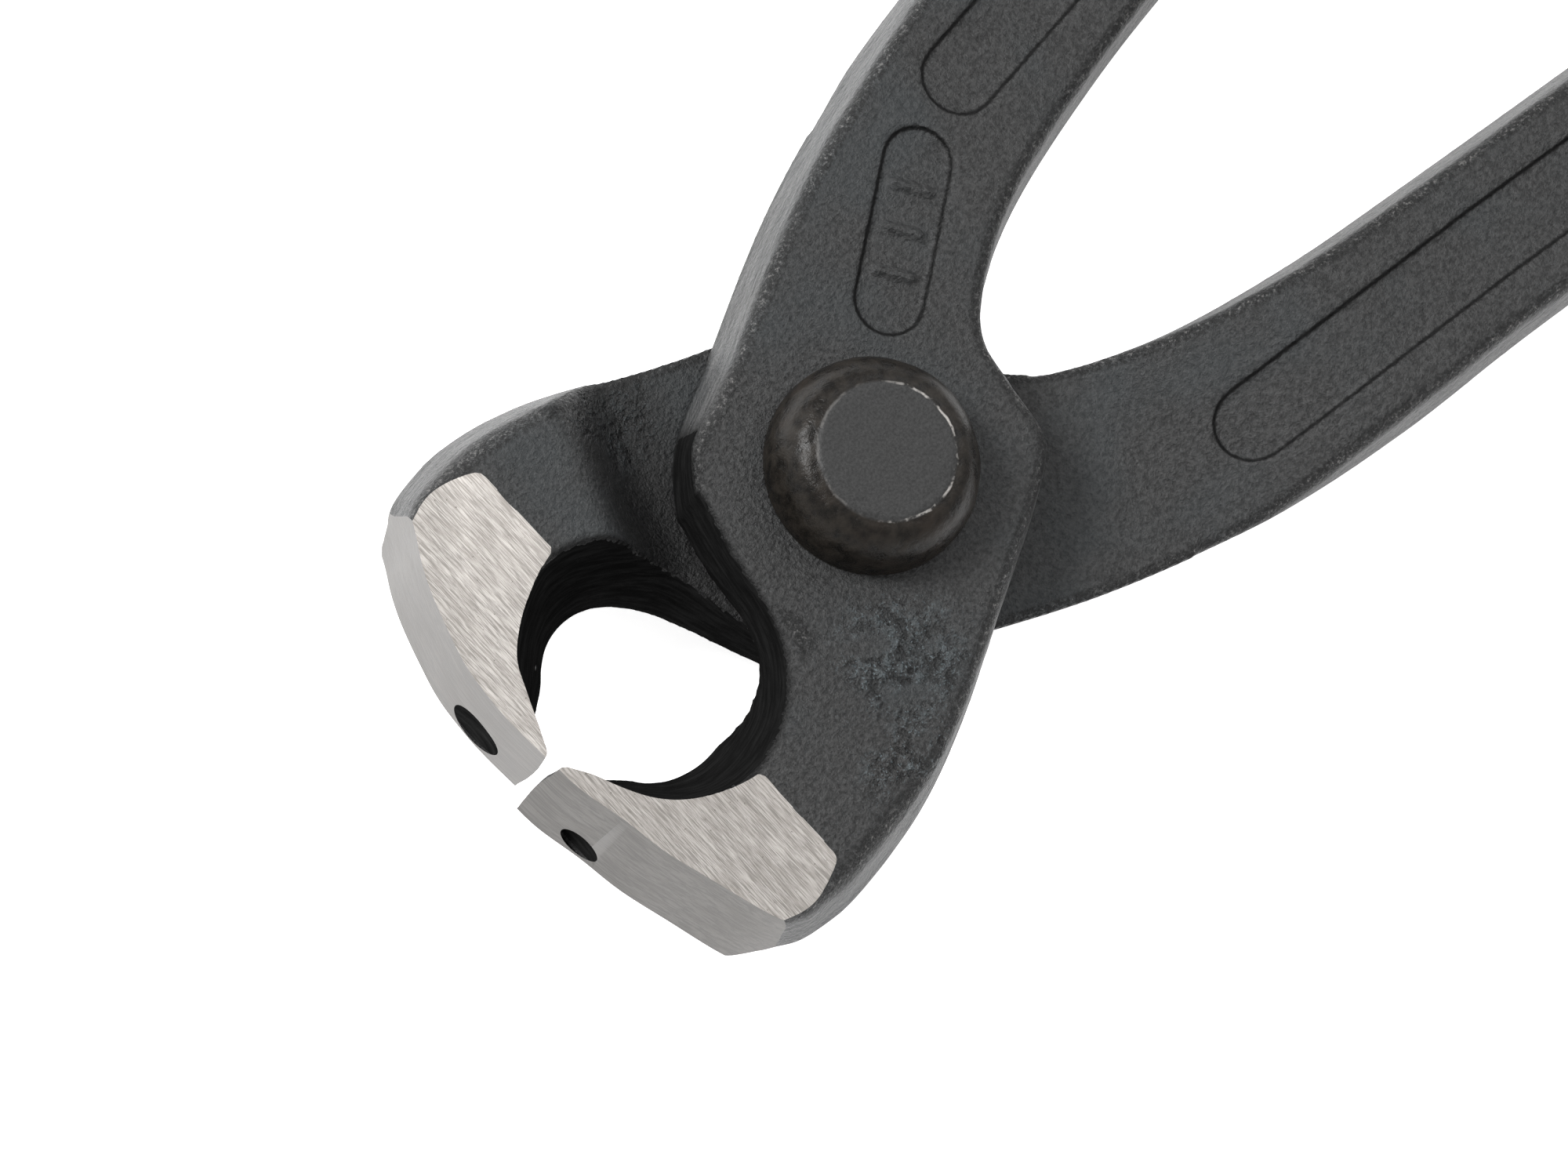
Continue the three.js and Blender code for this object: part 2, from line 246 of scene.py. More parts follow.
class Plan:
    """Everything about a lever that is drawn in the plane, on the grid's x and y."""

    def __init__(self, shape):
        self.xs, self.ys, self.zs = grid_axes()
        x, y = np.meshgrid(self.xs, self.ys, indexing="ij")
        self.x, self.y = x, y
        bent = y + shape["bend"] * ramp(x, -8, -28)
        self.outer = self.silhouette(x, bent, shape)
        self.up = shape["up"]
        self.high, self.low = (signed_distance(rounded(shape[end]), x, y) for end in ("high", "low"))
        self.panel = signed_distance(cad_loops(HANDLE_FACE - 0.05)[1], x, bent)
        pad_loop = next(p for p in cad_loops(FACE - 0.45)[1:] if np.ptp(p[:, 0]) > 2.2 * BORE_RADIUS)
        self.pad = signed_distance(pad_loop, x, y)
        jaw = ramp(x, 9, 16) * ramp(y, 5, 10)
        mouth = ramp(x, 4, 8) * ramp(y, 7, 4)
        self.crown = EDGE_ROUND + (CROWN_ROUND - EDGE_ROUND) * jaw + (THROAT_ROUND - EDGE_ROUND) * mouth
        self.lean = DRAFT + (JAW_DRAFT - DRAFT) * jaw + (THROAT_DRAFT - DRAFT) * mouth
        sunk = ramp(self.panel, BORDER, -BORDER) * PANEL_DEPTH
        top = FACE - (FACE - HANDLE_FACE) * ramp(x, RAMP_START, RAMP_END)
        top = top - sunk - ramp(self.pad, BORDER, -BORDER) * PAD_DEPTH
        self.top = top + ramp(self.rib_field(pad_loop, x, y), RIB_BORDER, -RIB_BORDER) * RIB_HEIGHT
        self.bottom = self.underside(x, y) + sunk

    @staticmethod
    def silhouette(x, y, shape):
        """The forging's outline in the mid-plane, with the throat filled in and metal left on
        the nose for grinding."""
        outline = signed_distance(cad_loops(0.3)[0], x, y)
        outline -= shape["swell"] * ramp(np.abs(x - 5), 13, 0) * ramp(y, 3, 8)
        filled = box_distance(x, y, *THROAT_FILLING)
        plate_front = box_distance(x, y, *PLATE_FRONT)
        lobe = np.maximum.reduce([np.hypot(x, y) - shape["lobe"], -5.5 - y, 8 - x])
        outline = np.minimum.reduce([outline, filled, plate_front, lobe])
        outline -= GRINDING_STOCK * ramp(x, 20, 24) * ramp(y, 19, 15)
        outline = np.maximum(blurred(outline, 2.0), x - REACH - 1.8)
        return np.where(x > 22, np.maximum(outline, TIP_GAP - y), outline)

    @staticmethod
    def underside(x, y):
        """The lap plate's underside, the shoulder down to the jaw's full depth, and the handle's."""
        s = x * math.cos(SHOULDER_TURN) + y * math.sin(SHOULDER_TURN)
        t = (s - SHOULDER_FOOT) / (SHOULDER_TOP - SHOULDER_FOOT)
        wall = -smooth_max(-smooth_max(t, 0, FOOT_ROUND), -1, TOP_ROUND)
        back = ramp(x, RAMP_START, RAMP_END)
        return LAP - (LAP + FACE) * np.clip(wall, 0, 1) - (LAP + HANDLE_FACE) * back

    @staticmethod
    def rib_field(pad_loop, x, y):
        """Distance to three short plain ribs across the pad."""
        centre = (pad_loop.min(axis=0) + pad_loop.max(axis=0)) / 2
        spread = np.linalg.svd(pad_loop - centre, full_matrices=False)[2]
        along = (x - centre[0]) * spread[0, 0] + (y - centre[1]) * spread[0, 1]
        across = (x - centre[0]) * spread[1, 0] + (y - centre[1]) * spread[1, 1]
        nearest = np.minimum.reduce([np.abs(along - i * RIB_SPACING) for i in (-1, 0, 1)])
        return np.hypot(nearest, np.maximum(np.abs(across) - RIB_HALF_LENGTH, 0)) - RIB_HALF_WIDTH

    def side(self, z):
        """Distance to the leaning side wall, at any height."""
        return self.outer[..., None] + self.lean[..., None] * np.abs(z)

    def hollow(self, z, high, low):
        """Positive in the throat, which narrows from its high outline down to its low one and
        has tool marks round its lower half."""
        height = self.up * z
        ridge = 1 - np.abs(2 * ((np.abs(z) / STEP_PITCH) % 1) - 1)
        share = (height + FACE) / (2 * FACE)
        return STEP_DEPTH * ridge * ramp(height, 0, -1) - low - (high - low) * share

    def solid(self):
        """Signed field of the whole forging, before its ground faces are cut."""
        z = self.zs[None, None, :]
        f = smooth_max(self.side(z), z - self.top[..., None], self.crown[..., None])
        under = np.where(self.x < RAMP_START, EDGE_ROUND, RIM_ROUND)
        under = np.where(self.x > SHOULDER_FOOT, self.crown, under)
        f = smooth_max(f, self.bottom[..., None] - z, under[..., None])
        f = smooth_max(f, self.hollow(z, self.high[..., None], self.low[..., None]), RIM_ROUND)
        return np.maximum(f, (BORE_RADIUS - np.hypot(self.x, self.y))[..., None])

    def at(self, field, points):
        """A plane field's value at each of the points."""
        i = np.interp(points[:, 0], self.xs, np.arange(len(self.xs)))
        j = np.interp(points[:, 1], self.ys, np.arange(len(self.ys)))
        i0 = np.minimum(i.astype(int), len(self.xs) - 2)
        j0 = np.minimum(j.astype(int), len(self.ys) - 2)
        u, v = i - i0, j - j0
        near = field[i0, j0] * (1 - v) + field[i0, j0 + 1] * v
        far = field[i0 + 1, j0] * (1 - v) + field[i0 + 1, j0 + 1] * v
        return near * (1 - u) + far * u


# ---- meshes ---------------------------------------------------------------------------------

def surface_net(field, axes):
    """Vertices and quads of the surface where the field is zero; quads face outwards."""
    inside = field < 0
    corners = np.array([(i, j, k) for i in (0, 1) for j in (0, 1) for k in (0, 1)])
    size = np.array(field.shape) - 1
    count = sum(inside[i:i + size[0], j:j + size[1], k:k + size[2]].astype(np.int8)
                for i, j, k in corners)
    active = (count > 0) & (count < 8)
    cells = np.argwhere(active)
    index = np.full(active.shape, -1, np.int32)
    index[active] = np.arange(len(cells))
    values = [field[tuple((cells + c).T)] for c in corners]
    total = np.zeros((len(cells), 3))
    crossings = np.zeros(len(cells))
    for a in range(8):
        for b in range(a + 1, 8):
            if np.abs(corners[a] - corners[b]).sum() != 1:
                continue
            crossed = (values[a] < 0) != (values[b] < 0)
            t = values[a][crossed] / (values[a][crossed] - values[b][crossed])
            total[crossed] += corners[a] + t[:, None] * (corners[b] - corners[a])
            crossings += crossed
    place = cells + total / crossings[:, None]
    points = np.stack([np.interp(place[:, i], np.arange(len(a)), a) for i, a in enumerate(axes)], 1)
    quads = []
    for d in range(3):
        u, v = np.eye(3, dtype=int)[(d + 1) % 3], np.eye(3, dtype=int)[(d + 2) % 3]
        here = np.take(inside, range(size[d]), d)
        ahead = np.take(inside, range(1, size[d] + 1), d)
        edges = np.argwhere(here != ahead)
        leaving = here[tuple(edges.T)]
        ring = np.stack([index[tuple((edges - o).T)] for o in (u + v, v, 0 * u, u)], 1)
        ring[~leaving] = ring[~leaving][:, ::-1]
        quads.append(ring)
    return points, np.vstack(quads)


def new_object(name, points, faces):
    """An object whose mesh is in metres; points are millimetres."""
    mesh = bpy.data.meshes.new(name)
    mesh.from_pydata((np.asarray(points) * MM).tolist(), [], np.asarray(faces, dtype=object).tolist())
    mesh.update()
    thing = bpy.data.objects.new(name, mesh)
    bpy.context.scene.collection.objects.link(thing)
    return thing


def points_of(mesh):
    """The mesh's vertices, in millimetres."""
    flat = np.zeros(len(mesh.vertices) * 3)
    mesh.vertices.foreach_get("co", flat)
    return flat.reshape(-1, 3) / MM


def set_points(mesh, points):
    mesh.vertices.foreach_set("co", (points * MM).ravel())
    mesh.update()


def roughen(thing, weight, coarse=0.06, fine=0.03, seed=0.0):
    """Pushes the surface in and out by slow and quick noise, in millimetres, times a weight."""
    mesh = thing.data
    points = points_of(mesh)
    normals = np.zeros(len(points) * 3)
    mesh.vertex_normals.foreach_get("vector", normals)
    shift = Vector((seed, -seed, 2 * seed))
    height = np.array([
        coarse * noise.noise(Vector(p) * 0.3 + shift) + fine * noise.noise(Vector(p) * 1.15 + shift)
        for p in points])
    set_points(mesh, points + normals.reshape(-1, 3) * (height * weight)[:, None])


def prism(name, outline, low, high):
    """A closed solid from a plane outline, anticlockwise seen from above."""
    n = len(outline)
    points = [(x, y, z) for z in (low, high) for x, y in outline]
    walls = [(i, (i + 1) % n, n + (i + 1) % n, n + i) for i in range(n)]
    return new_object(name, points, [tuple(range(n))[::-1], tuple(range(n, 2 * n))] + walls)


def cut_away(thing, cutter):
    """Takes the cutter's solid out of the thing and deletes the cutter."""
    step = thing.modifiers.new("cut", "BOOLEAN")
    step.object = cutter
    step.operation = "DIFFERENCE"
    step.solver = "MANIFOLD"
    graph = bpy.context.evaluated_depsgraph_get()
    made = bpy.data.meshes.new_from_object(thing.evaluated_get(graph))
    thing.modifiers.clear()
    old, thing.data = thing.data, made
    bpy.data.meshes.remove(old)
    bpy.data.objects.remove(cutter)


# ---- ground faces ---------------------------------------------------------------------------

def facet_height(x):
    """Height of the ground facet over the mid-plane."""
    return FACE - FACET_DROP * (x - (REACH - FACET_LENGTH)) / FACET_LENGTH


def facet_cutter(side):
    """The wedge over the facet of one side: 1 for the upper face, -1 for the lower."""
    start, end = REACH - FACET_LENGTH - BEYOND, REACH + BEYOND
    section = [(start, facet_height(start)), (end, facet_height(end)), (end, FACE + BEYOND),
               (start, FACE + BEYOND)]
    cutter = prism("facet_cutter", section, -BEYOND, LEVER_HIGH[1] + BEYOND)
    turn = Matrix(((1, 0, 0), (0, 0, 1), (0, side, 0))).to_4x4()
    cutter.data.transform(turn)
    if side > 0:
        cutter.data.flip_normals()
    return cutter


def nose_cutter(shape):
    """Everything in front of the nose's ground face."""
    curve = rounded(shape["nose"])
    outline = [*curve[::-1], (curve[0][0], -BEYOND), (REACH + BEYOND, -BEYOND),
               (REACH + BEYOND, curve[-1][1])]
    cutter = prism("nose_cutter", outline, -FACE - BEYOND, FACE + BEYOND)
    points = points_of(cutter.data)
    points[:, 0] += nose_shift(shape, points[:, 2])
    set_points(cutter.data, points)
    return cutter


def nose_shift(shape, z):
    """How far the leaning nose is in front of its outline, at a height."""
    return shape["nose_lean"] * (FACE - FACET_DROP - z)


def pocket_cutter(shape):
    """A flat ball that leaves the hollow in the nose."""
    ball = bmesh.new()
    bmesh.ops.create_icosphere(ball, subdivisions=5, radius=MM)
    half, centre = shape["pocket"]
    bmesh.ops.scale(ball, vec=(POCKET_DEPTH, POCKET_LENGTH, half), verts=ball.verts)
    x = np.interp(POCKET_Y, *np.array(shape["nose"]).T[::-1]) + nose_shift(shape, centre)
    bmesh.ops.translate(ball, vec=Vector((x, POCKET_Y, centre)) * MM, verts=ball.verts)
    cutter = bpy.data.objects.new("pocket_cutter", bpy.data.meshes.new("pocket_cutter"))
    bpy.context.scene.collection.objects.link(cutter)
    ball.to_mesh(cutter.data)
    ball.free()
    return cutter


# ---- levers ---------------------------------------------------------------------------------

def lever(name, shape, materials):
    """One lever, roughened except where it meets the rivet and the other lever, then ground."""
    plan = Plan(shape)
    thing = new_object(name, *surface_net(plan.solid(), (plan.xs, plan.ys, plan.zs)))
    x, y, z = points_of(thing.data).T
    clear_of_lap = ramp(np.abs(z), 0.5, 1.1)
    clear_of_rivet = ramp(np.hypot(x, y) - HEAD_RADIUS, 0.2, 1.0)
    by_facet = ramp(x, 16.5, 18.5) * ramp(np.abs(z), 4.0, 4.5)
    roughen(thing, clear_of_lap * clear_of_rivet * (1 - 0.85 * by_facet), seed=shape["seed"])
    for cutter in (facet_cutter(1), facet_cutter(-1), nose_cutter(shape), pocket_cutter(shape)):
        cut_away(thing, cutter)
    paint(thing, plan, shape, materials)
    turn = Matrix.Identity(4) if shape["up"] > 0 else Matrix.Rotation(math.pi, 4, "X")
    thing.data.transform(Matrix.Translation((0, 0, MID * MM)) @ turn)
    return thing


def material_indices(mesh, points, shape, shade_and_scale):
    """Per face: 0 for forged skin, 1 on a facet, 2 on the nose, 3 for the walls in the deepest painted
    shade. How upright a face's normal is tells a facet from the walls."""
    x, y, z = points.T
    close = 0.004
    flat, steep, wall = 0.9, 0.3, 0.55
    nose = rounded(shape["nose"])
    off_facet = np.abs(np.abs(z) - facet_height(x))
    off_nose = np.abs(x - nose_shift(shape, z) - np.interp(y, nose[:, 1], nose[:, 0]))
    loops = np.zeros(len(mesh.loops), int)
    mesh.loops.foreach_get("vertex_index", loops)
    starts = np.zeros(len(mesh.polygons), int)
    mesh.polygons.foreach_get("loop_start", starts)
    normals = np.zeros(len(mesh.polygons) * 3)
    mesh.polygons.foreach_get("normal", normals)
    upright = np.abs(normals.reshape(-1, 3)[:, 2])
    on_facet = np.minimum.reduceat((off_facet < close)[loops], starts) & (upright > flat)
    on_nose = np.minimum.reduceat((off_nose < close)[loops], starts) & (upright < steep)
    on_wall = (np.minimum.reduceat(shade_and_scale[loops], starts) > 0.8) & (upright < wall)
    return np.select([on_facet, on_nose, on_wall], [1, 2, 3], 0)


def paint(thing, plan, shape, materials):
    """Names each face's material and records, at each vertex, what the forged skin's material
    draws: how near an outer edge or a recess's border is, how far it is down a side wall, and
    how much painted shade darkens the skin, which in the nose's pocket is also dark scale."""
    mesh = thing.data
    points = points_of(mesh)
    mesh.materials.clear()
    for material in materials:
        mesh.materials.append(material)
    x, y, z = points.T
    height = np.abs(z)
    side = plan.at(plan.outer, points) + plan.at(plan.lean, points) * height
    top, bottom = plan.at(plan.top, points), plan.at(plan.bottom, points)
    panel, pad = plan.at(plan.panel, points), plan.at(plan.pad, points)
    hollow = plan.hollow(z, plan.at(plan.high, points), plan.at(plan.low, points))
    beyond = np.maximum(z - top, bottom - z)
    across = x * math.cos(SHOULDER_TURN) + y * math.sin(SHOULDER_TURN)
    middle = (top + bottom) / 2
    # These marks are painted shade: darkness at the throat's rim, on the lap plate's front where the other
    # lever shades it, and at the foot of the shoulder's slope; the nose's pocket is scale left in shade, so
    # its darkness is both.
    mouth = ramp(np.abs(hollow), 0.5, 0.2)
    plate_front = ramp(-beyond, 0.3, 0.7) * ramp(x, 5, 7) * ramp(y, 1, 0)
    crease_shade = 0.75 * ramp(across, 7, 12) * ramp(across, SHOULDER_TOP, SHOULDER_TOP - 2) * (z < middle)
    half, centre = shape["pocket"]
    pocket = (x > 26) & (box_distance(y, z, (POCKET_Y, centre), (POCKET_LENGTH, half)) < 0.1)
    shade_and_scale = np.maximum.reduce([mouth, plate_front, crease_shade, 1.0 * pocket])
    recess = np.where(z > middle, np.minimum(panel, pad), panel)
    from_edge = np.abs(np.maximum(side, hollow)) + np.abs(beyond)
    nearness = np.abs(from_edge - plan.at(plan.crown, points) / 2)
    record(mesh, "edge", np.where(hollow > side, FAR, nearness))
    record(mesh, "recess", np.where(np.abs(side) < 0.6, FAR, recess))
    record(mesh, "wall", ramp(-beyond, 0.5, 1.3))
    record(mesh, "shade_and_scale", shade_and_scale)
    record(mesh, "crumple", np.maximum.reduce([
        ramp(np.hypot(x - cx, y - cy) / reach, 1.3, 0.3) for cx, cy, reach in shape["crumples"]]))
    faces = material_indices(mesh, points, shape, shade_and_scale)
    mesh.polygons.foreach_set("material_index", faces.astype(np.int32))
    mesh.polygons.foreach_set("use_smooth", (faces == 0) | (faces == 3))
    mesh.set_sharp_from_angle(angle=math.radians(28))
    mesh.update()


def record(mesh, name, values):
    """Keeps one number per vertex under a name that a material can read."""
    attribute = mesh.attributes.new(name, "FLOAT", "POINT")
    attribute.data.foreach_set("value", np.asarray(values, np.float32))


# ---- rivet ----------------------------------------------------------------------------------

def head_profile():
    """Radius and depth under the top, from the flat's middle over the dome to the shank."""
    head = RIVET_HIGH[2] - MID - FACE
    shoulder = FLAT_RADIUS + 0.1
    profile = [(r, 0.0) for r in np.linspace(0.35, FLAT_RADIUS - 0.25, DOME_STEPS)]
    profile += [(FLAT_RADIUS - 0.08, 0.03), (FLAT_RADIUS + 0.06, 0.13)]
    for i in range(1, DOME_STEPS + 1):
        turn = math.pi / 2 * i / DOME_STEPS
        profile.append((shoulder + (HEAD_RADIUS - shoulder) * math.sin(turn),
                        0.15 + (head - 0.45) * (1 - math.cos(turn))))
    return profile + [(HEAD_RADIUS, head - 0.15), (HEAD_RADIUS - 0.12, head - 0.06),
                      (SHANK_RADIUS, head - 0.05)]


def rivet(material):
    """The rivet turned from one profile: a head, the shank, then the head again upside down."""
    profile = head_profile()
    top = [(r, RIVET_HIGH[2] - depth) for r, depth in profile]
    bottom = [(r, RIVET_LOW[2] + depth) for r, depth in profile[::-1]]
    rings = top + [(SHANK_RADIUS, MID)] + bottom
    around = RIVET_SIDES
    angles = np.arange(around) * 2 * math.pi / around
    points = [(r * math.cos(a), r * math.sin(a), z) for r, z in rings for a in angles]
    faces = []
    for k in range(len(rings) - 1):
        for i in range(around):
            j = (i + 1) % around
            faces.append((k * around + i, (k + 1) * around + i, (k + 1) * around + j, k * around + j))
    points += [(0, 0, RIVET_HIGH[2]), (0, 0, RIVET_LOW[2])]
    apex, last = len(points) - 2, (len(rings) - 1) * around
    for i in range(around):
        j = (i + 1) % around
        faces.append((i, j, apex))
        faces.append((last + j, last + i, apex + 1))
    thing = new_object("rivet_forged", points, faces)
    place = points_of(thing.data)
    radius = np.hypot(place[:, 0], place[:, 1])
    out = np.abs(place[:, 2] - MID) - FACE
    roughen(thing, ramp(out, 0.3, 0.8), coarse=0.09, fine=0.035, seed=4.0)
    place = points_of(thing.data)
    place[:, 2] = np.clip(place[:, 2], RIVET_LOW[2], RIVET_HIGH[2])
    set_points(thing.data, place)
    thing.data.materials.append(material)
    thing.data.polygons.foreach_set("use_smooth", np.ones(len(thing.data.polygons), bool))
    thing.data.set_sharp_from_angle(angle=math.radians(50))
    return thing


# ---- materials ------------------------------------------------------------------------------

class Shader:
    """A material's node tree with short ways to add nodes. Texture lengths are millimetres."""

    def __init__(self, name):
        self.material = bpy.data.materials.new(name)
        self.material.use_nodes = True
        self.tree = self.material.node_tree
        self.surface = self.tree.nodes["Principled BSDF"]
        place = self.add("TexCoord").outputs["Object"]
        self.place = self.add("VectorMath", {0: place, "Scale": 1 / MM}, operation="SCALE").outputs[0]

    def add(self, kind, inputs=None, **settings):
        made = self.tree.nodes.new("ShaderNode" + kind)
        for key, value in settings.items():
            setattr(made, key, value)
        for key, value in (inputs or {}).items():
            if isinstance(value, bpy.types.NodeSocket):
                self.tree.links.new(value, made.inputs[key])
            else:
                made.inputs[key].default_value = value
        return made

    def noise(self, size, detail=2.0, stretch=None, roughness=0.5):
        """Noise from 0 to 1 whose grains are about size millimetres."""
        place = self.place
        if stretch:
            place = self.add("VectorMath", {0: place, 1: stretch}, operation="MULTIPLY").outputs[0]
        made = self.add("TexNoise", {"Vector": place, "Scale": 1 / size, "Detail": detail,
                                     "Roughness": roughness})
        return made.outputs["Fac"]

    def maths(self, operation, a, b=0.0):
        return self.add("Math", {0: a, 1: b}, operation=operation).outputs[0]

    def fade(self, value, start, end, low=0.0, high=1.0):
        """Goes smoothly from low at start to high at end."""
        made = self.add("MapRange", {"Value": value, "From Min": start, "From Max": end,
                                     "To Min": low, "To Max": high}, interpolation_type="SMOOTHSTEP")
        return made.outputs["Result"]

    def mix(self, share, a, b):
        made = self.add("Mix", {0: share, 6: a, 7: b}, data_type="RGBA")
        return made.outputs[2]

    def attribute(self, name):
        return self.add("Attribute", attribute_name=name).outputs["Fac"]

    def over(self, colour, top, mask, share):
        """The colour with a share of another laid over it where the mask is 1."""
        return self.mix(self.maths("MULTIPLY", mask, share), colour, top)

    def bump(self, height, distance, below=None):
        """A normal from a height; the distance, in millimetres, may be a socket."""
        if isinstance(distance, bpy.types.NodeSocket):
            distance = self.maths("MULTIPLY", distance, MM)
        else:
            distance *= MM
        inputs = {"Height": height, "Distance": distance, "Strength": 1.0}
        if below:
            inputs["Normal"] = below
        return self.add("Bump", inputs).outputs["Normal"]

    def set(self, **values):
        """Sockets of the surface by name, with _ for a space."""
        for key, value in values.items():
            socket = self.surface.inputs[key.replace("_", " ")]
            if isinstance(value, bpy.types.NodeSocket):
                self.tree.links.new(value, socket)
            else:
                socket.default_value = value


def grey(level, warm=0.0):
    return (level * (1 + warm), level, level * (1 - warm), 1.0)


# The first grey is the dark of pits and of painted shade; the paler blue ending the next line is a painted
# highlight on crests, and the last blue is painted sparkle.
SOOT_AND_SHADE = grey(0.003)
BLUE_SCALE, BLUE_RIDGE_HIGHLIGHT = (0.027, 0.033, 0.036, 1.0), (0.075, 0.088, 0.094, 1.0)
BLUE_PAINTED_GLINT = (0.13, 0.16, 0.175, 1.0)
RUST = (0.017, 0.012, 0.009, 1.0)


def forged_skin():
    """Black scale from the forge: granular, worn bright and pitted along its edges, with painted sparkle, a
    painted highlight on the rough spots' crests, and painted shade in their hollows, along recess borders
    and where the lever records shade.
    """
    s = Shader("forged_skin")
    broad = s.noise(9.0, 2.0)
    folds = s.noise(0.9, 3.0, roughness=0.65)
    lumps = s.noise(0.36, 3.0, roughness=0.7)
    grain = s.noise(0.17, 3.0, roughness=0.7)
    patch = s.maths("MULTIPLY", s.attribute("crumple"), s.fade(s.noise(2.2, 3.0), 0.38, 0.56))
    colour = s.mix(s.fade(lumps, 0.34, 0.66), grey(0.013), grey(0.034))
    colour = s.mix(s.fade(broad, 0.42, 0.7, 0.0, 0.35), colour, BLUE_SCALE)
    # painted glints: pale blue-grey specks laid on as highlights, more of them on the rough spots
    painted_glints = s.maths("MULTIPLY", s.fade(s.noise(0.16, 1.0), 0.60, 0.68), s.maths("ADD", patch, 0.08))
    colour = s.over(colour, BLUE_PAINTED_GLINT, painted_glints, 0.45)
    # painted highlight on the crests of the rough spots' folds
    ridge_highlights = s.maths("MULTIPLY", s.fade(folds, 0.53, 0.60), patch)
    colour = s.over(colour, BLUE_RIDGE_HIGHLIGHT, ridge_highlights, 0.42)
    # painted shade in the hollows of the rough spots' folds
    hollow_shade = s.maths("MULTIPLY", s.fade(folds, 0.49, 0.42), patch)
    colour = s.over(colour, grey(0.004), hollow_shade, 0.85)
    streaks = s.noise(0.3, 3.0, stretch=(0.08, 0.08, 1.0), roughness=0.7)
    wall = s.attribute("wall")
    # the side walls are paler, in streaks down their height
    colour = s.mix(s.maths("MULTIPLY", wall, s.fade(streaks, 0.35, 0.65)), colour, grey(0.07))
    edge = s.attribute("edge")
    ragged = s.noise(0.28, 4.0, roughness=0.8)
    wear = s.maths("MULTIPLY", s.fade(edge, 0.16, 0.04), s.fade(ragged, 0.56, 0.64))
    colour = s.over(colour, grey(0.20, 0.04), wear, 0.45)
    pits = s.maths("MULTIPLY", s.fade(edge, 0.5, 0.2), s.fade(ragged, 0.56, 0.48))
    colour = s.over(colour, SOOT_AND_SHADE, pits, 0.85)
    recess = s.attribute("recess")
    wander = s.fade(lumps, 0.2, 0.8, -0.06, 0.06)
    # painted shade: a dark line along each recess's border, standing in for the shade in its groove
    line = s.fade(s.maths("ADD", s.maths("ABSOLUTE", recess), wander), 0.24, 0.08)
    colour = s.over(colour, SOOT_AND_SHADE, line, 0.85)
    # painted shade laid over the skin where the lever records it: the throat's rim, the lap plate's front,
    # the foot of the shoulder, and the nose's pocket, which is also dark scale
    colour = s.over(colour, SOOT_AND_SHADE, s.attribute("shade_and_scale"), 0.94)
    shape = s.bump(folds, s.fade(patch, 0.0, 1.0, 0.10, 0.9))
    shape = s.bump(lumps, 0.2, below=shape)
    shape = s.bump(grain, 0.07, below=shape)
    shape = s.bump(s.fade(recess, -0.12, 0.14), 0.16, below=shape)
    s.set(Base_Color=colour, Roughness=s.fade(grain, 0.3, 0.7, 0.38, 0.54), Normal=shape)
    s.surface.inputs["Specular IOR Level"].default_value = 0.25
    return s.material


def throat_skin_and_shade():
    """The darkest walls, in the throat and along the front of a lap plate: dark scale made darker as
    painted shade.
    """
    s = Shader("throat_skin_and_shade")
    marks = s.noise(0.4, 3.0, stretch=(0.15, 0.15, 1.0), roughness=0.7)
    grain = s.noise(0.2, 3.0, roughness=0.7)
    colour = s.mix(s.fade(marks, 0.35, 0.75), grey(0.006), grey(0.014))
    shape = s.bump(marks, 0.06)
    shape = s.bump(grain, 0.05, below=shape)
    s.set(Base_Color=colour, Roughness=s.fade(grain, 0.3, 0.7, 0.45, 0.6), Normal=shape)
    s.surface.inputs["Specular IOR Level"].default_value = 0.0
    return s.material


def ground_steel(name, line, light):
    """Bare steel with grinding lines along Y, about line millimetres wide; light is how pale it is, which
    also carries painted shade.
    """
    s = Shader(name)
    fine = s.noise(line, 3.0, stretch=(1.0, 0.05, 1.0), roughness=0.7)
    coarse = s.noise(3 * line, 2.0, stretch=(1.0, 0.08, 1.0))
    cloud = s.noise(2.6, 2.0)
    speck = s.noise(0.25, 2.0)
    colour = s.mix(s.fade(fine, 0.36, 0.64), grey(light * 0.5, 0.07), grey(light * 1.05, 0.055))
    colour = s.mix(s.fade(coarse, 0.4, 0.7, 0.0, 0.35), colour, grey(light * 0.5, 0.09))
    colour = s.mix(s.fade(cloud, 0.45, 0.7, 0.0, 0.2), colour, grey(light * 0.5, 0.08))
    colour = s.mix(s.fade(speck, 0.70, 0.78, 0.0, 0.6), colour, grey(0.05, 0.2))
    s.set(Base_Color=colour, Roughness=s.fade(fine, 0.2, 0.8, 0.30, 0.45), Normal=s.bump(fine, 0.012))
    s.surface.inputs["Metallic"].default_value = 1.0
    return s.material


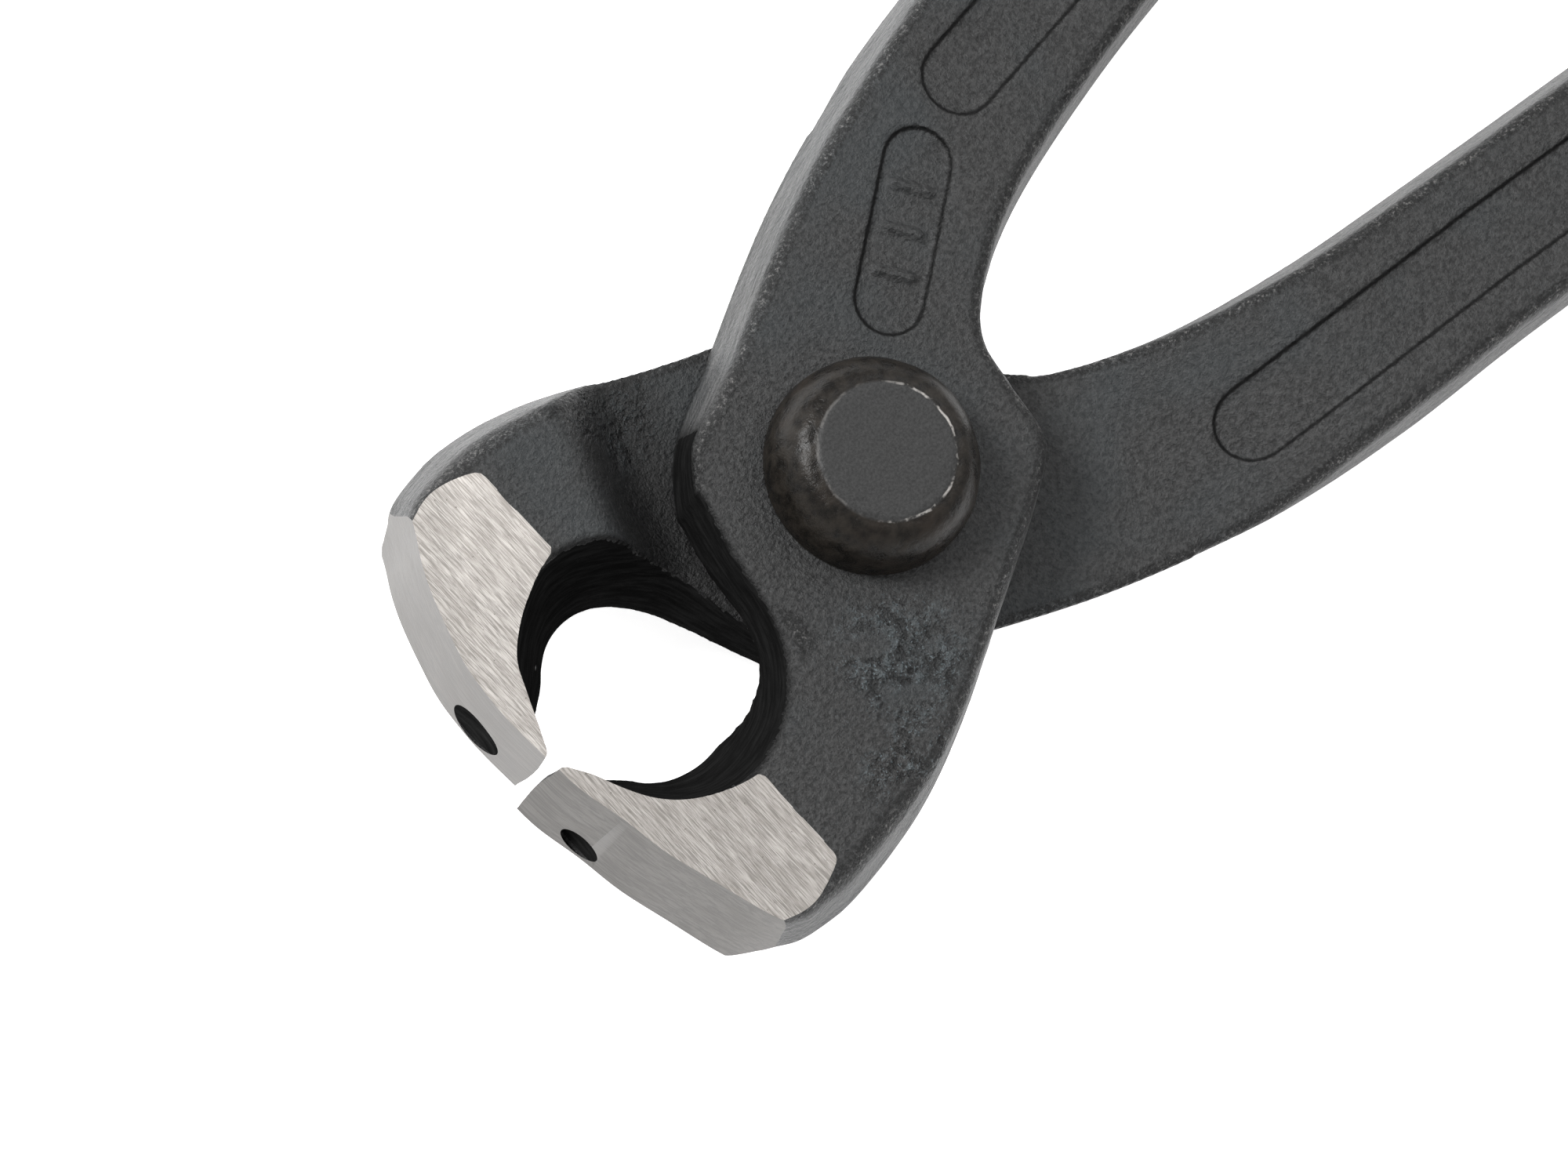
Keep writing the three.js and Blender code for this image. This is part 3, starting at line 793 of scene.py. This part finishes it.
def rivet_skin():
    """Very dark scale, with a paler flat whose corner is bright in patches, more so on one side."""
    s = Shader("rivet_skin")
    broad = s.noise(4.0, 3.0)
    middle = s.noise(0.9, 4.0, roughness=0.6)
    grain = s.noise(0.2, 3.0, roughness=0.7)
    apart = s.add("SeparateXYZ", {0: s.place}).outputs
    radius = s.maths("SQRT", s.maths("ADD", s.maths("MULTIPLY", apart[0], apart[0]),
                                     s.maths("MULTIPLY", apart[1], apart[1])))
    flat = s.fade(radius, FLAT_RADIUS + 0.25, FLAT_RADIUS - 0.05)
    colour = s.mix(s.fade(middle, 0.3, 0.7), grey(0.003, 0.15), grey(0.012, 0.2))
    colour = s.mix(s.fade(broad, 0.5, 0.72, 0.0, 0.5), colour, RUST)
    colour = s.mix(flat, colour, s.mix(s.fade(grain, 0.3, 0.7), grey(0.018), grey(0.033)))
    wander = s.fade(s.noise(1.1, 2.0), 0.3, 0.7, FLAT_RADIUS, FLAT_RADIUS + 0.12)
    off_ring = s.maths("ABSOLUTE", s.maths("SUBTRACT", radius, wander))
    # the ring is brighter towards the rear lever's handle
    facing = s.fade(s.maths("SUBTRACT", apart[1], s.maths("MULTIPLY", apart[0], 0.9)), -1.5, 3.5)
    patchy = s.fade(s.noise(1.2, 3.0, roughness=0.7), 0.42, 0.6)
    worn = s.maths("MULTIPLY", patchy, s.maths("ADD", facing, 0.15))
    ring = s.maths("MULTIPLY", s.fade(off_ring, 0.13, 0.03), worn)
    colour = s.over(colour, grey(0.36, 0.05), ring, 0.7)
    shape = s.bump(middle, 0.09)
    shape = s.bump(grain, 0.03, below=shape)
    rough = s.maths("ADD", s.fade(middle, 0.3, 0.7, 0.24, 0.38), s.maths("MULTIPLY", flat, 0.14))
    s.set(Base_Color=colour, Roughness=rough, Normal=shape)
    s.surface.inputs["Specular IOR Level"].default_value = 0.16
    return s.material


def floor_paint():
    """Plain white paper, lifted towards the picture's white by a little light of its own."""
    s = Shader("floor_paint")
    colour = s.mix(s.noise(60.0, 2.0), grey(0.86), grey(0.9))
    s.set(Base_Color=colour, Roughness=0.9, Emission_Color=grey(1.0), Emission_Strength=0.8)
    return s.material


# ---- the object -----------------------------------------------------------------------------

FACET_LINE, NOSE_LINE = 0.08, 0.3
skin, black_skin_and_shade = forged_skin(), throat_skin_and_shade()


def surfaces(name, facet_tone_and_shade, nose_tone_and_shade):
    """A lever's four materials, in the order of material_indices."""
    return (skin, ground_steel(name + "_facet_steel", FACET_LINE, facet_tone_and_shade),
            ground_steel(name + "_nose_steel", NOSE_LINE, nose_tone_and_shade), black_skin_and_shade)


# The steel's levels given here carry painted shade: each nose is darker than its facet, and the front
# lever's ground faces are darker than the rear's.
front = lever("front_lever_forged", FRONT, surfaces("front", 0.38, 0.09))
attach(front, "front")
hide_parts("front_lever")

rear = lever("rear_lever_forged", REAR, surfaces("rear", 0.46, 0.115))
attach(rear, "rear")
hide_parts("rear_lever")

pin = rivet(rivet_skin())
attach(pin, "rear")
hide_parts("rivet")

# ---- stage, light and camera ----------------------------------------------------------------

SPREAD = 3000
floor = new_object("floor", [(i * SPREAD, j * SPREAD, 0) for i, j in ((-1, -1), (1, -1), (1, 1), (-1, 1))],
                   [(0, 1, 2, 3)])
floor.data.materials.append(floor_paint())


def soft_light(name, place, size, power):
    """A round lamp that faces the rivet; metres and watts."""
    data = bpy.data.lights.new(name, "AREA")
    data.shape = "DISK"
    data.size = size
    data.energy = power
    lamp = bpy.data.objects.new(name, data)
    bpy.context.scene.collection.objects.link(lamp)
    lamp.location = place
    lamp.rotation_euler = (-Vector(place)).to_track_quat("-Z", "Y").to_euler()


soft_light("key", (0.35, -0.68, 0.72), size=0.4, power=14.0)
soft_light("fill", (-0.5, -0.1, 0.8), size=0.9, power=4.0)
world = bpy.data.worlds.new("studio")
bpy.context.scene.world = world
world.use_nodes = True
world.node_tree.nodes["Background"].inputs["Color"].default_value = (1.0, 1.0, 1.0, 1.0)
world.node_tree.nodes["Background"].inputs["Strength"].default_value = 0.75
bpy.context.scene.view_settings.view_transform = "Standard"

# The camera looks down on the tool from the jaws' end, TILT off the rivet's axis.
TILT, ROLL, SWING = math.radians(19.5), math.radians(42.0), math.radians(-1.0)
DISTANCE, LENS, SENSOR = 450.0, 163.17, 36.0
AIM = Vector((9.73, 2.04, MID + FACE))
away = Vector((math.sin(TILT), 0, math.cos(TILT)))
level = Vector((0, 1, 0))
back = Vector((math.cos(TILT), 0, -math.sin(TILT)))
right = -back * math.cos(ROLL) + level * math.sin(ROLL)
up = -back * math.sin(ROLL) - level * math.cos(ROLL)
pose = Matrix((right, up, away)).transposed().to_4x4()
pose.translation = (AIM + away * DISTANCE) * MM
camera_data = bpy.data.cameras.new("camera")
camera_data.lens = LENS
camera_data.sensor_width = SENSOR
camera = bpy.data.objects.new("camera", camera_data)
camera.matrix_world = Matrix.Rotation(SWING, 4, "Z") @ pose
bpy.context.scene.collection.objects.link(camera)
bpy.context.scene.camera = camera
